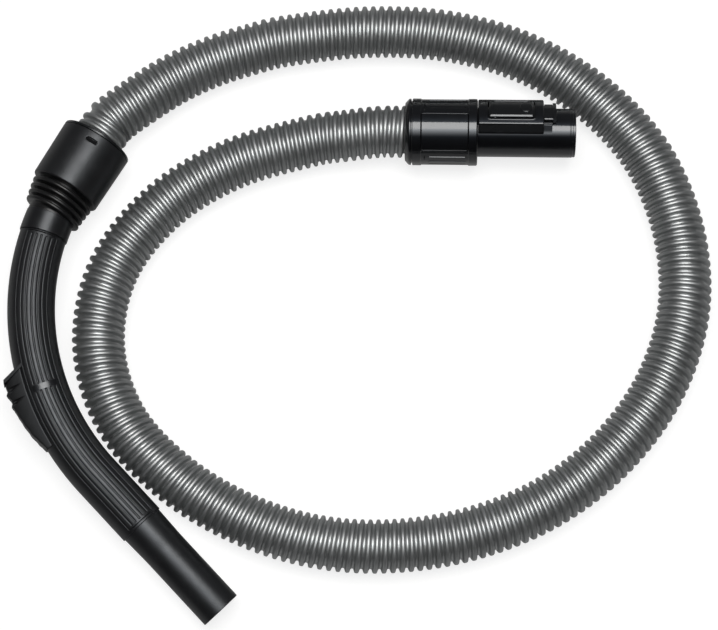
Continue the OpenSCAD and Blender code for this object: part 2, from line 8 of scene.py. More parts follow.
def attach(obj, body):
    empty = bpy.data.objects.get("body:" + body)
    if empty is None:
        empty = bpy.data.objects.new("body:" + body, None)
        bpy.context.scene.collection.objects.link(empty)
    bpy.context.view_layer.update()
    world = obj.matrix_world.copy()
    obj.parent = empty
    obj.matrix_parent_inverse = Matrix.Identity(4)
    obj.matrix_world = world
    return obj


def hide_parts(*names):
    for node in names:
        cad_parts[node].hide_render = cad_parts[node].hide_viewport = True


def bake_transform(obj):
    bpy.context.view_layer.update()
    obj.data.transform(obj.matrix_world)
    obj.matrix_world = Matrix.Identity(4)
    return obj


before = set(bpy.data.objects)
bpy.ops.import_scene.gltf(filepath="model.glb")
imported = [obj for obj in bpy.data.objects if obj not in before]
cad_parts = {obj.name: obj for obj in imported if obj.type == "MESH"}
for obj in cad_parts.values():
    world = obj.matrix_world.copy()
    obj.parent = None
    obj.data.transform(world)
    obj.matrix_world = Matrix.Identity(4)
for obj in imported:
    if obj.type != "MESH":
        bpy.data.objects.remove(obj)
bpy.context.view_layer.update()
MM = 0.001
TAU = 2 * math.pi

# ---------------------------------------------------------------- layout, in mm
# Where both ends lie on the surface, and how they are turned, in degrees
shift = Vector((49.5, 36.2, 0))
collar_tilt, collar_head, handle_roll = 5, -119.6, 7.5
cuff_tilt, cuff_head, latch_turn, panel_turn = 2.5, -1.3, 30, -17
collar_mouth_r, cuff_r, cap_len = 28.0, 25.6, 5.6
collar_pos = Vector((-201, 130.2, collar_mouth_r * math.cos(math.radians(collar_tilt))))
cuff_pos = Vector((35.3, 138.8, cuff_r * math.cos(math.radians(cuff_tilt))
                   - cap_len * math.sin(math.radians(cuff_tilt))))
hose_r, hose_bore_r, rib_h, rib_pitch = 20.0, 16.0, 3.35, 6.33
# The hose's straight ends: inside a cuff, outside it, and the reach that sets the curve's start
seat_deep, out_len, lead_len = 24, 16, 25


def turn(axis, degrees):
    return Matrix.Rotation(math.radians(degrees), 4, axis)


collar_frame = (Matrix.Translation(shift + collar_pos) @ turn("Z", collar_head)
                @ turn("Y", -collar_tilt) @ turn("X", -handle_roll))
cuff_frame = (Matrix.Translation(shift + cuff_pos) @ turn("Z", cuff_head)
              @ turn("Y", -cuff_tilt))
latch_frame = cuff_frame @ turn("X", -latch_turn)


# ---------------------------------------------------------------- camera, light, floor
camera_place, camera_lean = Vector((0, -319.1, 1501.5)), 12
# The focal length over the frame's width
camera_reach = 2000 / 718
# Strength of the world from the near side to the far side, and of the floor's own glow
sky_near, sky_far = 0.01, 0.1
floor_white, floor_mirror = 0.79, 0.095


def make_camera():
    """Nearly overhead: 12 degrees off vertical, 1.5 m above the surface."""
    data = bpy.data.cameras.new("camera")
    data.sensor_width = 36
    data.lens = camera_reach * data.sensor_width
    data.clip_start, data.clip_end = 0.05, 20
    cam = bpy.data.objects.new("camera", data)
    cam.location = (shift + camera_place) * MM
    cam.rotation_euler = (math.radians(camera_lean), 0, 0)
    bpy.context.scene.collection.objects.link(cam)
    bpy.context.scene.camera = cam


def area_light(name, place, aim, size_x, size_y, radiance, colour=(1, 1, 1), fade=0):
    """A soft box; with fade its light falls off across it by that power."""
    data = bpy.data.lights.new(name, "AREA")
    data.shape = "RECTANGLE"
    data.size, data.size_y = size_x, size_y
    data.energy = radiance * math.pi * size_x * size_y
    data.color = colour
    if fade:
        data.use_nodes = True
        tree = data.node_tree
        split = tree.nodes.new("ShaderNodeSeparateXYZ")
        tree.links.new(tree.nodes.new("ShaderNodeNewGeometry").outputs["Parametric"],
                       split.inputs[0])
        power = tree.nodes.new("ShaderNodeMath")
        power.operation = "POWER"
        tree.links.new(split.outputs["Y"], power.inputs[0])
        power.inputs[1].default_value = fade
        tree.links.new(power.outputs[0], tree.nodes["Emission"].inputs["Strength"])
    lamp = bpy.data.objects.new(name, data)
    lamp.location = place
    lamp.rotation_euler = (Vector(aim) - Vector(place)).to_track_quat("-Z", "Y").to_euler()
    bpy.context.scene.collection.objects.link(lamp)


def make_light():
    """A soft box overhead, a weaker one that fades towards the viewer, and a dim world."""
    middle = shift * MM
    area_light("overhead", middle + Vector((0, 0.33, 2.1)), middle, 1.5, 0.84, 7.7,
               (1.0, 0.985, 0.96))
    area_light("near_side", middle + Vector((0, -0.62, 2.06)), middle, 1.5, 1.1, 6.2,
               (0.96, 0.985, 1.0), fade=1.9)
    world = bpy.data.worlds.new("world")
    bpy.context.scene.world = world
    world.use_nodes = True
    tree = world.node_tree
    back = tree.nodes["Background"]
    back.inputs["Color"].default_value = (0.9, 0.95, 1.0, 1)
    split = tree.nodes.new("ShaderNodeSeparateXYZ")
    tree.links.new(tree.nodes.new("ShaderNodeTexCoord").outputs["Generated"], split.inputs[0])
    fade = tree.nodes.new("ShaderNodeMapRange")
    tree.links.new(split.outputs["Y"], fade.inputs["Value"])
    for key, value in (("From Min", -0.5), ("From Max", 0.9), ("To Min", sky_near),
                       ("To Max", sky_far)):
        fade.inputs[key].default_value = value
    tree.links.new(fade.outputs["Result"], back.inputs["Strength"])
    bpy.context.scene.view_settings.view_transform = "Standard"


make_camera()
make_light()


# ---------------------------------------------------------------- materials
class Shader:
    """A Principled material with short calls for the nodes that it needs."""

    def __init__(self, name, **values):
        self.material = bpy.data.materials.new(name)
        self.material.use_nodes = True
        self.tree = self.material.node_tree
        self.main = self.tree.nodes["Principled BSDF"]
        for key, value in values.items():
            self.main.inputs[key.replace("_", " ")].default_value = value
        self.place = self.tree.nodes.new("ShaderNodeTexCoord").outputs["Object"]

    def node(self, kind, links=(), **values):
        made = self.tree.nodes.new("ShaderNode" + kind)
        for key, value in values.items():
            if key in made.inputs:
                made.inputs[key].default_value = value
            else:
                setattr(made, key, value)
        for key, source in links:
            self.tree.links.new(source, made.inputs[key])
        return made

    def noise(self, scale, detail=4, roughness=0.55):
        made = self.node("TexNoise", [("Vector", self.place)], Scale=scale, Detail=detail,
                         Roughness=roughness)
        return made.outputs["Fac"]

    def ramp(self, fac, stops):
        made = self.node("ValToRGB", [("Fac", fac)])
        ramp = made.color_ramp
        while len(ramp.elements) < len(stops):
            ramp.elements.new(0.5)
        for element, (at, colour) in zip(ramp.elements, stops):
            element.position = at
            element.color = (*colour, 1)
        return made.outputs["Color"]

    def spread(self, fac, low, high, from_low=0.3, from_high=0.7):
        """A noise's middle range, stretched to run from low to high."""
        made = self.node("MapRange", [("Value", fac)])
        for key, value in (("From Min", from_low), ("From Max", from_high),
                           ("To Min", low), ("To Max", high)):
            made.inputs[key].default_value = value
        return made.outputs["Result"]

    def link(self, source, key):
        self.tree.links.new(source, self.main.inputs[key])

    def bump(self, height, distance):
        made = self.node("Bump", [("Height", height)], Distance=distance, Strength=1.0)
        return made.outputs["Normal"]


def grey(v, tint=(1, 1, 1)):
    return tuple(v * t for t in tint)


def moulded(name, colour, rough, grain=0.00002, tint=(1, 1, 1.03), spread=0.05, skin=None,
            shine=0.62):
    """Moulded plastic: fine grain, faint clouding of gloss, a little settled dust.

    With skin, a polished surface of that roughness lies over it.
    """
    s = Shader(name, Specular_IOR_Level=shine, Specular_Tint=(0.91, 0.95, 1.0, 1))
    if skin:
        for key, value in (("Coat Weight", 1.0), ("Coat Roughness", skin), ("Coat IOR", 1.53),
                           ("Specular IOR Level", 0.2), ("Specular Tint", (0.7, 0.82, 1.0, 1))):
            s.main.inputs[key].default_value = value
    cloud = s.noise(38, 5)
    fine = s.noise(2600, 3, 0.6)
    dust = s.noise(900, 2, 0.7)
    base = s.ramp(cloud, [(0.35, grey(colour * 0.86, tint)), (0.68, grey(colour * 1.14, tint))])
    speck = s.spread(dust, 0, 0.5, 0.74, 0.8)
    mixed = s.node("Mix", [("Factor", speck), ("A", base)], data_type="RGBA")
    mixed.inputs["B"].default_value = (*grey(colour * 2.6, tint), 1)
    s.link(mixed.outputs["Result"], "Base Color")
    s.link(s.spread(s.noise(120, 4), rough - spread, rough + spread), "Roughness")
    s.link(s.bump(fine, grain), "Normal")
    return s.material


def hose_plastic():
    """Silver-grey pigmented plastic: soft metallic flake, smoother between the ribs."""
    s = Shader("hose_plastic", Metallic=0.9, Specular_IOR_Level=0.5)
    flake = s.noise(5200, 2, 0.7)
    cloud = s.noise(26, 4)
    valley = s.node("Attribute", attribute_name="valley").outputs["Fac"]
    s.link(s.ramp(cloud, [(0.3, (0.372, 0.382, 0.385)), (0.7, (0.42, 0.431, 0.434))]),
           "Base Color")
    worn = s.node("Math", operation="MULTIPLY_ADD")
    s.tree.links.new(valley, worn.inputs[0])
    worn.inputs[1].default_value = -0.08
    s.tree.links.new(s.spread(s.noise(160, 3), 0.46, 0.5), worn.inputs[2])
    s.link(worn.outputs[0], "Roughness")
    s.main.inputs["Coat Weight"].default_value = 0.35
    s.main.inputs["Coat Roughness"].default_value = 0.3
    s.link(s.bump(flake, 0.000006), "Normal")
    return s.material


def rubber():
    """Black rubber with a soft, slightly uneven sheen."""
    s = Shader("bellows_rubber", Specular_IOR_Level=0.5)
    cloud = s.noise(60, 5)
    s.link(s.ramp(cloud, [(0.35, (0.007, 0.007, 0.0075)), (0.7, (0.011, 0.011, 0.0115))]),
           "Base Color")
    s.link(s.spread(s.noise(140, 4), 0.27, 0.37), "Roughness")
    s.link(s.bump(s.noise(1500, 3), 0.00003), "Normal")
    return s.material


def steel():
    """Bare drawn steel."""
    s = Shader("spring_steel", Metallic=1.0)
    s.link(s.ramp(s.noise(300, 3), [(0.3, (0.5, 0.5, 0.5)), (0.7, (0.66, 0.66, 0.65))]),
           "Base Color")
    s.link(s.spread(s.noise(900, 2), 0.22, 0.34), "Roughness")
    return s.material


satin_black = moulded("satin_black", 0.009, 0.39, 0.00002, (1, 1, 1.08), 0.04)
grip_black = moulded("grip_black", 0.009, 0.4, 0.00002, (1, 1, 1.08), 0.04)
slider_black = moulded("slider_black", 0.009, 0.46, 0.00003)
fin_black = moulded("fin_black", 0.007, 0.62, 0.00003)
# Painted shade: a near-black, nearly unreflective plastic that stands in for the shade inside the
# collar's windows
painted_shade_black = moulded("painted_shade_black", 0.002, 0.6, 0.00002, shine=0.08)
gloss_black = moulded("gloss_black", 0.004, 0.34, 0.000004, (1, 1, 1.15), 0.03, 0.1)
panel_black = moulded("panel_black", 0.004, 0.36, 0.000004, (1, 1, 1.15), 0.03, 0.09)
button_black = moulded("button_black", 0.006, 0.36, 0.000006, (1, 1, 1.05), 0.03, 0.13)
ring_gloss = moulded("ring_gloss", 0.006, 0.36, 0.000008, (1, 1, 1.05), 0.04, 0.26)
neck_black = moulded("neck_black", 0.009, 0.34, 0.00002, (1, 1, 1.08), 0.03)
hidden_plastic = moulded("hidden_plastic", 0.05, 0.45, 0.00003)
nylon = moulded("bearing_nylon", 0.3, 0.4, 0.00002, (1, 1, 1))
bellows_rubber = rubber()
hose_grey = hose_plastic()
spring_steel = steel()


def floor_material():
    """Matt card that looks white to the camera, keeps the shadow and gives little light back."""
    s = Shader("floor", Roughness=0.9, Specular_IOR_Level=0.0)
    s.link(s.ramp(s.noise(3, 3), [(0.3, (0.3, 0.3, 0.3)), (0.7, (0.32, 0.32, 0.32))]),
           "Base Color")
    ray = s.node("LightPath").outputs
    seen = s.node("Math", operation="MAXIMUM")
    s.tree.links.new(ray["Is Camera Ray"], seen.inputs[0])
    s.tree.links.new(ray["Is Transmission Ray"], seen.inputs[1])
    share = s.node("Math", operation="MULTIPLY")
    s.tree.links.new(ray["Is Glossy Ray"], share.inputs[0])
    share.inputs[1].default_value = floor_mirror
    glow = s.node("Math", operation="MULTIPLY_ADD")
    s.tree.links.new(seen.outputs[0], glow.inputs[0])
    glow.inputs[1].default_value = floor_white
    s.tree.links.new(share.outputs[0], glow.inputs[2])
    s.main.inputs["Emission Color"].default_value = (1, 1, 1, 1)
    s.link(glow.outputs[0], "Emission Strength")
    return s.material


def make_floor():
    size = 6
    mesh = bpy.data.meshes.new("floor")
    mesh.from_pydata([(-size, -size, 0), (size, -size, 0), (size, size, 0), (-size, size, 0)],
                     [], [(0, 1, 2, 3)])
    mesh.materials.append(floor_material())
    floor = bpy.data.objects.new("floor", mesh)
    bpy.context.scene.collection.objects.link(floor)


make_floor()


# ---------------------------------------------------------------- mesh helpers
def new_object(name, verts, faces, material, sharp=35):
    """A mesh from points in mm, with smooth shading and edges sharper than an angle kept."""
    mesh = bpy.data.meshes.new(name)
    mesh.from_pydata([tuple(c * MM for c in v) for v in verts], [], faces)
    bm = bmesh.new()
    bm.from_mesh(mesh)
    bmesh.ops.recalc_face_normals(bm, faces=bm.faces)
    bm.to_mesh(mesh)
    bm.free()
    mesh.materials.append(material)
    obj = bpy.data.objects.new(name, mesh)
    bpy.context.scene.collection.objects.link(obj)
    mesh.polygons.foreach_set("use_smooth", [True] * len(mesh.polygons))
    mesh.set_sharp_from_angle(angle=math.radians(sharp))
    return obj


# ---------------------------------------------------------------- hose
# The route's points: x, y and the rise over a hose that lies flat
route = [
    (-168, 165, 4.4), (-142, 183, 2.1), (-114, 197, 0.7), (-85, 207, 0), (-55, 214.5, 0),
    (7, 221.5, 0), (70, 218, 0), (129, 200.5, 0), (181.5, 167.5, 0), (222, 120.5, 0),
    (244, 61.5, 0), (246, 0, 0), (226.5, -58.5, 0), (190.5, -107.5, 0),
    (143.5, -144.5, 0), (88.5, -168, 0), (30, -178.5, 0), (-28.5, -176, 0),
    (-85, -159, 0), (-137.5, -128, 0), (-178.5, -84, 0), (-196.5, -28, 0),
    (-187, 31, 0), (-150.5, 80.5, 0), (-98.5, 114, 0), (-39.5, 132, 1),
    (-9, 136.5, 2.9)]
curve_steps, rib_sides, bore_rows = 48, 48, 400
# How far the skin stays inside the hose's ends, and the depths where a valley starts and is full
end_gap, valley_from, valley_full = 2.0, 0.6, 0.95
# Half of one rib and its valley, from the rib's top: distance along the hose and depth
rib_side = [(0, 0), (0.5, 0.04), (0.95, 0.17), (1.27, 0.42), (1.52, 0.9), (1.74, 1.6), (1.96, 2.3),
            (2.18, 2.88), (2.45, 3.2), (2.75, 3.32)]


def hose_line():
    """The hose's middle from cuff to cuff: a smooth curve through the route, never too low."""
    out_dir = collar_frame.to_3x3() @ Vector((1, 0, 0))
    in_dir = cuff_frame.to_3x3() @ Vector((1, 0, 0))
    start, end = shift + collar_pos, shift + cuff_pos
    knots = [start - out_dir * out_len]
    knots += [shift + Vector((x, y, hose_r + rise)) for x, y, rise in route]
    knots += [end - in_dir * out_len]
    ghosts = [knots[0] + lead_len * out_dir] + knots + [knots[-1] + lead_len * in_dir]
    points = [start + seat_deep * out_dir]
    for i in range(len(knots) - 1):
        a, b, c, d = ghosts[i:i + 4]
        for j in range(curve_steps):
            t = j / curve_steps
            p = 0.5 * (2 * b + (c - a) * t + (2 * a - 5 * b + 4 * c - d) * t ** 2
                       + (3 * b - a - 3 * c + d) * t ** 3)
            p.z = max(p.z, hose_r)
            points.append(p)
    return points + [knots[-1], end + seat_deep * in_dir]


class Rail:
    """A route by its length, with a frame that stays upright along it."""

    def __init__(self, points):
        self.points = points
        self.at = [0.0]
        for p, q in zip(points, points[1:]):
            self.at.append(self.at[-1] + (q - p).length)
        self.length = self.at[-1]
        self.last = 0

    def spot(self, s):
        i = self.last
        while i + 2 < len(self.at) and self.at[i + 1] < s:
            i += 1
        while i > 0 and self.at[i] > s:
            i -= 1
        self.last = i
        f = (s - self.at[i]) / (self.at[i + 1] - self.at[i])
        return self.points[i].lerp(self.points[i + 1], f)

    def frame(self, s):
        step = 2.0
        ahead = self.spot(min(s + step, self.length))
        behind = self.spot(max(s - step, 0))
        t = (ahead - behind).normalized()
        left = Vector((0, 0, 1)).cross(t).normalized()
        return self.spot(s), left, t.cross(left)


def rib_profile():
    """(share of the pitch, radius) of one rib, its walls and the valley, in order."""
    half = rib_pitch / 2
    points = [(-x, d) for x, d in reversed(rib_side[1:])] + rib_side + [(half, rib_h)]
    return [((x + half) / rib_pitch, hose_r - d) for x, d in points]


def make_hose():
    """One left-handed helical rib over the bore, as one closed skin."""
    path = hose_line()
    rail = Rail(path)
    profile = rib_profile()
    n, m = len(profile), rib_sides
    from_s, to_s = end_gap, rail.length - end_gap
    turns = int((to_s - from_s) / rib_pitch) - 1
    rows = turns * n
    stretch = (to_s - from_s) / ((turns + 1) * rib_pitch)
    verts, faces = [], []

    def corner(i, k):
        return i * m + k if k < m else (i + n) * m

    for i in range(rows):
        for k in range(m):
            share, r = profile[i % n]
            s = from_s + rib_pitch * stretch * (i // n + share + k / m)
            c, left, up = rail.frame(s)
            a = -TAU * k / m
            verts.append(c + r * (math.cos(a) * left + math.sin(a) * up))
    for i in range(rows - 1):
        for k in range(m):
            if k < m - 1 or i + 1 + n < rows:
                faces.append((corner(i, k), corner(i, k + 1), corner(i + 1, k + 1),
                              corner(i + 1, k)))
    base = len(verts)
    for j in range(bore_rows + 1):
        c, left, up = rail.frame(from_s + (to_s - from_s) * j / bore_rows)
        for k in range(m):
            a = -TAU * k / m
            verts.append(c + hose_bore_r * (math.cos(a) * left + math.sin(a) * up))
    for j in range(bore_rows):
        for k in range(m):
            k2 = (k + 1) % m
            faces.append((base + j * m + k, base + (j + 1) * m + k, base + (j + 1) * m + k2,
                          base + j * m + k2))
    # Both ends: a step of one turn, closed against the bore
    for k in range(m):
        faces.append((corner(0, k), base + k, base + (k + 1) % m, corner(0, k + 1)))
    faces.append(tuple([base] + [corner(i, 0) for i in range(n + 1)]))
    last, end = rows - 1, base + bore_rows * m
    for k in range(m - 1):
        faces.append((corner(last, k), corner(last, k + 1), end + k + 1, end + k))
    faces.append(tuple([corner(last - i, m - 1) for i in range(n + 1)] + [end + m - 1]))
    faces.append((corner(last - n, m - 1), corner(last, 0), end, end + m - 1))
    hose = new_object("ribbed_hose", verts, faces, hose_grey, 50)
    depth = hose.data.attributes.new("valley", "FLOAT", "POINT")
    low = [(hose_r - profile[i % n][1]) / rib_h for i in range(rows) for k in range(m)]
    low = [max(0, min(1, (d - valley_from) / (valley_full - valley_from))) for d in low]
    depth.data.foreach_set("value", low + [0.0] * (len(verts) - len(low)))
    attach(hose, "line")
    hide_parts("hose")
    return hose


make_hose()


# ---------------------------------------------------------------- places on the handle
bellows_len, bellows_bend, collar_len = 23.5, 9.3, 46.8
neck_len, grip_bend_r, grip_arc, straight_len = 16, 188, 64.4, 49.4
grip_r, neck_r, tongue_r, bellows_in = 17.7, 18.5, 16.6, 15
spigot_root_r, spigot_r, spigot_bore_r = 16.7, 16, 14.2
spigot_cone_len, spigot_cyl_len = 23.8, 62


def heading(a):
    return Vector((math.cos(math.radians(a)), math.sin(math.radians(a))))


def left_of(a):
    return Vector((-math.sin(math.radians(a)), math.cos(math.radians(a))))


bellows_r = bellows_len / math.radians(bellows_bend)
bellows_c = Vector((collar_len, bellows_r))
neck_pt = bellows_c - bellows_r * left_of(bellows_bend)
grip_c = neck_pt + grip_bend_r * left_of(bellows_bend)
end_head = bellows_bend + grip_arc
arc_len = grip_bend_r * math.radians(grip_arc)
shoulder_at = arc_len + straight_len
spigot_end = shoulder_at + spigot_cone_len + spigot_cyl_len


def on_handle(s, r, phi):
    """s: mm along the centre line from the bellows' grip end; phi: degrees from the top."""
    if s < -bellows_len:
        head, c = 0, Vector((collar_len + bellows_len + s, 0))
    elif s < 0:
        head = bellows_bend * (1 + s / bellows_len)
        c = bellows_c - bellows_r * left_of(head)
    elif s < arc_len:
        head = bellows_bend + math.degrees(s / grip_bend_r)
        c = grip_c - grip_bend_r * left_of(head)
    else:
        head = end_head
        c = grip_c - grip_bend_r * left_of(head) + (s - arc_len) * heading(head)
    p = c - r * math.sin(math.radians(phi)) * left_of(head)
    return collar_frame @ Vector((p.x, p.y, r * math.cos(math.radians(phi))))


def around(m):
    """A place from mm along a frame's X axis, radius and degrees from its top."""
    def at(x, r, phi):
        a = math.radians(phi)
        return m @ Vector((x, r * math.sin(a), r * math.cos(a)))
    return at


on_collar, on_cuff, on_latch = around(collar_frame), around(cuff_frame), around(latch_frame)


# ---------------------------------------------------------------- skins
def spaced(a, b, step, *fine):
    """Places from a to b at a step, and closer ones about each (place, reach, step)."""
    out = [a + (b - a) * i / max(1, round((b - a) / step)) for i in
           range(max(1, round((b - a) / step)) + 1)]
    for p, reach, d in fine:
        n = max(1, round(reach / d))
        close = [p + reach * i / n for i in range(-n, n + 1)]
        out = [v for v in out if abs(v - p) > reach + d / 3 or v in (a, b)]
        out += [v for v in close if a < v < b]
    out = sorted(out)
    return [v for i, v in enumerate(out) if i == 0 or v - out[i - 1] > 1e-4]


def skin(name, at, ss, ts, phi, top, bottom, material, closed=True, sharp=38):
    """A closed shell between two radii, over places s and the angles phi(s, t)."""
    cols = len(ts)
    outer, inner = [], []
    for s in ss:
        for t in ts:
            p = phi(s, t)
            outer.append(at(s, top(s, p), p))
            inner.append(at(s, bottom(s, p), p))
    verts, faces = outer + inner, []
    base, last = len(outer), len(ss) - 1
    wrap = cols if closed else cols - 1
    for i in range(last):
        for j in range(wrap):
            a, b = i * cols + j, i * cols + (j + 1) % cols
            faces.append((a, b, b + cols, a + cols))
            faces.append((base + a, base + a + cols, base + b + cols, base + b))
    for j in range(wrap):
        k = (j + 1) % cols
        faces.append((j, base + j, base + k, k))
        e = last * cols
        faces.append((e + j, e + k, base + e + k, base + e + j))
    if not closed:
        for i in range(last):
            for j in (0, cols - 1):
                a = i * cols + j
                faces.append((a, a + cols, base + a + cols, base + a))
    return new_object(name, verts, faces, material, sharp)


def full(s, t):
    """The angles of a skin whose columns run straight along it."""
    return t


round_turn = [4 * k for k in range(90)]


def edge(d, r):
    """How far a rounded edge of radius r drops at a distance d inside it."""
    if d >= r:
        return 0.0
    if d <= 0:
        return r
    return r - math.sqrt(r * r - (r - d) ** 2)


def lip(d, deep, r):
    """A seat's wall: full depth where d < 0, then its rounded lip of radius r."""
    return deep if d < 0 else edge(d, r)


def box_gap(x, y, half_x, half_y, corner):
    """Distance outside a rectangle with round corners; negative inside."""
    qx, qy = abs(x) - half_x + corner, abs(y) - half_y + corner
    return math.hypot(max(qx, 0), max(qy, 0)) + min(max(qx, qy), 0) - corner


def wrapped(a):
    """The same direction as an angle from -180 to 180 degrees."""
    return (a + 180) % 360 - 180


def piece(obj, body, slot, *nodes):
    """Shown on a body in place of its nodes; slot is not used."""
    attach(obj, body)
    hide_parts(*nodes)
    return obj


# ---------------------------------------------------------------- collar
collar_back_r, collar_in, mouth_len, shell_from = 27.1, 24.7, 2.1, 2.5
# Where the collar's wide bore ends in a step down to the bellows
collar_step = 41
window_at, window_len, window_w, window_deep = 9.2, 3.5, 9.6, 2.4
bearing_from, bearing_to, bearing_in, tab_rise = 3.4, 15.4, 22.6, 0.9


def window_gap(x, phi, shrink=0.0):
    """Distance outside the nearer of the two windows, top and bottom; negative inside."""
    across = math.radians(min(abs(wrapped(phi)), abs(wrapped(phi - 180)))) * collar_mouth_r
    return box_gap(x - window_at, across, window_len / 2 - shrink, window_w / 2 - shrink,
                   window_len / 2 - shrink - 0.1)


def collar_r(x):
    return collar_mouth_r + (collar_back_r - collar_mouth_r) * x / collar_len


def collar_top(x, phi):
    r = collar_r(x) - edge(x - shell_from, 0.3) - edge(collar_len - x, 1.3)
    return r - lip(window_gap(x, phi), window_deep, 0.3)


def collar_bore(x, phi):
    return collar_in if x < collar_step else bellows_in + 0.2


def ring_top(x, phi):
    """The snap ring, with a tab that rises into each window."""
    gap = window_gap(x, phi, 0.15)
    return collar_in - 0.05 + (tab_rise if gap < 0 else 0)


def make_collar():
    """The collar's shell, its glossier mouth ring and the snap ring inside."""
    near = 13
    ss = spaced(shell_from, collar_len, 2.2, (shell_from + 0.15, 0.15, 0.05),
                (window_at, 2.3, 0.13), (collar_step, 0.06, 0.05),
                (collar_len - 0.65, 0.65, 0.13))
    ts = spaced(-180, 176.5, 3.5, (0, near, 0.4), (-180 + near, near, 0.4),
                (180 - near, near, 0.4))
    ts = [t for t in ts if t < 179.9]
    piece(skin("collar_shell", on_collar, ss, ts, full, collar_top, collar_bore, satin_black),
          "collar", "satin_black", "collar")
    ss = spaced(0, mouth_len, 0.4, (0.35, 0.35, 0.1), (mouth_len - 0.1, 0.1, 0.04))
    mouth = skin("collar_mouth", on_collar, ss, round_turn, full,
                 lambda x, p: collar_r(x) - edge(x, 0.7) - edge(mouth_len - x, 0.2),
                 lambda x, p: collar_in, ring_gloss)
    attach(mouth, "collar")
    ss = spaced(bearing_from, bearing_to, 2, (window_at, 2.3, 0.2))
    # The snap ring is painted near-black as the shade seen through the windows; the real ring is
    # grey nylon
    piece(skin("collar_bearing", on_collar, ss, ts, full, ring_top,
               lambda x, p: bearing_in, painted_shade_black), "collar", "nylon_grey", "swivel_ring")


# ---------------------------------------------------------------- bellows
def on_bellows(s, r, phi):
    """As on_handle, with folds that stay parallel to the collar and the turn at the neck."""
    head = bellows_bend * (1 + s / bellows_len)
    c = bellows_c - bellows_r * left_of(head)
    f = max(0, min(1, 1 + s / 2.2))
    p = c - r * math.sin(math.radians(phi)) * left_of(bellows_bend * f * f * (3 - 2 * f))
    return collar_frame @ Vector((p.x, p.y, r * math.cos(math.radians(phi))))


def make_bellows():
    """Four rounded folds that get smaller towards the grip, on a thin rubber wall."""
    folds, root, first, fold_pitch, tips = 4, 18.2, 4.4, 5.05, (25.1, 22.7)
    top = []
    for i in range(folds):
        tip = tips[0] + (tips[1] - tips[0]) * i / (folds - 1)
        mid = -bellows_len + first + fold_pitch * i
        half = [(2.1, root + 0.05), (1.8, root + 0.5), (1.62, tip - 2.6), (1.5, tip - 1.3),
                (1.25, tip - 0.62), (0.85, tip - 0.2), (0.35, tip)]
        top += [(mid - d, r) for d, r in half] + [(mid + d, r) for d, r in reversed(half)]
    top = [(-bellows_len, root), (-bellows_len + 1.2, root)] + top + [(0, root)]
    ss = [s for s, r in top]
    radius = dict(top)
    ts = [360 * k / 96 for k in range(96)]
    obj = skin("bellows_skin", on_bellows, ss, ts, full, lambda s, p: radius[s],
               lambda s, p: bellows_in + 0.05, bellows_rubber, sharp=60)
    tuple(on_handle(-bellows_len, 0, 0) * MM)
    tuple(on_handle(0, 0, 0) * MM)
    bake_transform(obj)
    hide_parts("bellows")


# ---------------------------------------------------------------- grip
inlay_half, inlay_sunk, inlay_corner, inlay_seat = 39, 0.05, 1.6, 1.15
inlay_from, inlay_to = neck_len + 1.2, shoulder_at - 2.2
# Grooves: their spacing in degrees, and a round cutter's radius and height over the surface
groove_step, groove_r, groove_over = 13, 0.95, 0.2
band_mid, band_half = grip_bend_r * math.radians(41.2), 2.2
groove_from, groove_to = inlay_from + 1.6, inlay_to - 1.2
# The air hole and the slot of the slider's stem, under the slider
bleed_mid, bleed_half, stem_mid, stem_half, stem_wide, hole_deep = 124.4, 4, 146.6, 9.9, 2.6, 1.9
grip_bore_r, tongue_from = 15.3, 1.3


def inlay_gap(s, phi, grow=0.0):
    side = min(abs(wrapped(phi)), abs(wrapped(phi - 180)))
    mid, half = (inlay_from + inlay_to) / 2, (inlay_to - inlay_from) / 2
    return box_gap(s - mid, math.radians(side) * grip_r, half + grow,
                   math.radians(inlay_half) * grip_r + grow, inlay_corner + grow)


def tube_top(s, phi):
    """The neck's tongue, the grip with its seats and holes, then the tapered spigot."""
    if s < neck_len:
        return tongue_r
    if s <= shoulder_at:
        r = grip_r - edge(s - neck_len, 0.4) - edge(shoulder_at - s, 0.5)
        r -= lip(inlay_gap(s, phi, 0.28), inlay_seat, 0.4)
        if abs(wrapped(phi - 90)) < 20:
            across = math.radians(wrapped(phi - 90)) * grip_r
            r -= lip(box_gap(s - bleed_mid, across, bleed_half, bleed_half, 1), hole_deep, 0.3)
            r -= lip(box_gap(s - stem_mid, across, stem_half, stem_wide, 0.6), hole_deep, 0.3)
        return r
    x = s - shoulder_at
    r = spigot_root_r - (spigot_root_r - spigot_r) * min(x / spigot_cone_len, 1)
    return r - edge(spigot_end - s, 0.6)


def inlay_top(s, phi):
    """The inlay, with five grooves that stop at its ends and at the band across it."""
    r = grip_r - inlay_sunk - edge(-inlay_gap(s, phi), 0.4)
    side = wrapped(phi) if abs(wrapped(phi)) < 90 else wrapped(phi - 180)
    k = max(-2, min(2, round(side / groove_step)))
    across = math.radians(side - k * groove_step) * grip_r
    past = max(groove_from + groove_r - s, s - groove_to + groove_r,
               band_half + groove_r - abs(s - band_mid), 0)
    d = math.hypot(across, past)
    if d < groove_r:
        r -= max(0, math.sqrt(groove_r ** 2 - d * d) - groove_over)
    return r


def rounded_in(d, corner):
    """How much narrower a plate with round corners is, at a distance d from its end."""
    return corner - math.sqrt(max(0, corner ** 2 - (corner - d) ** 2)) if d < corner else 0


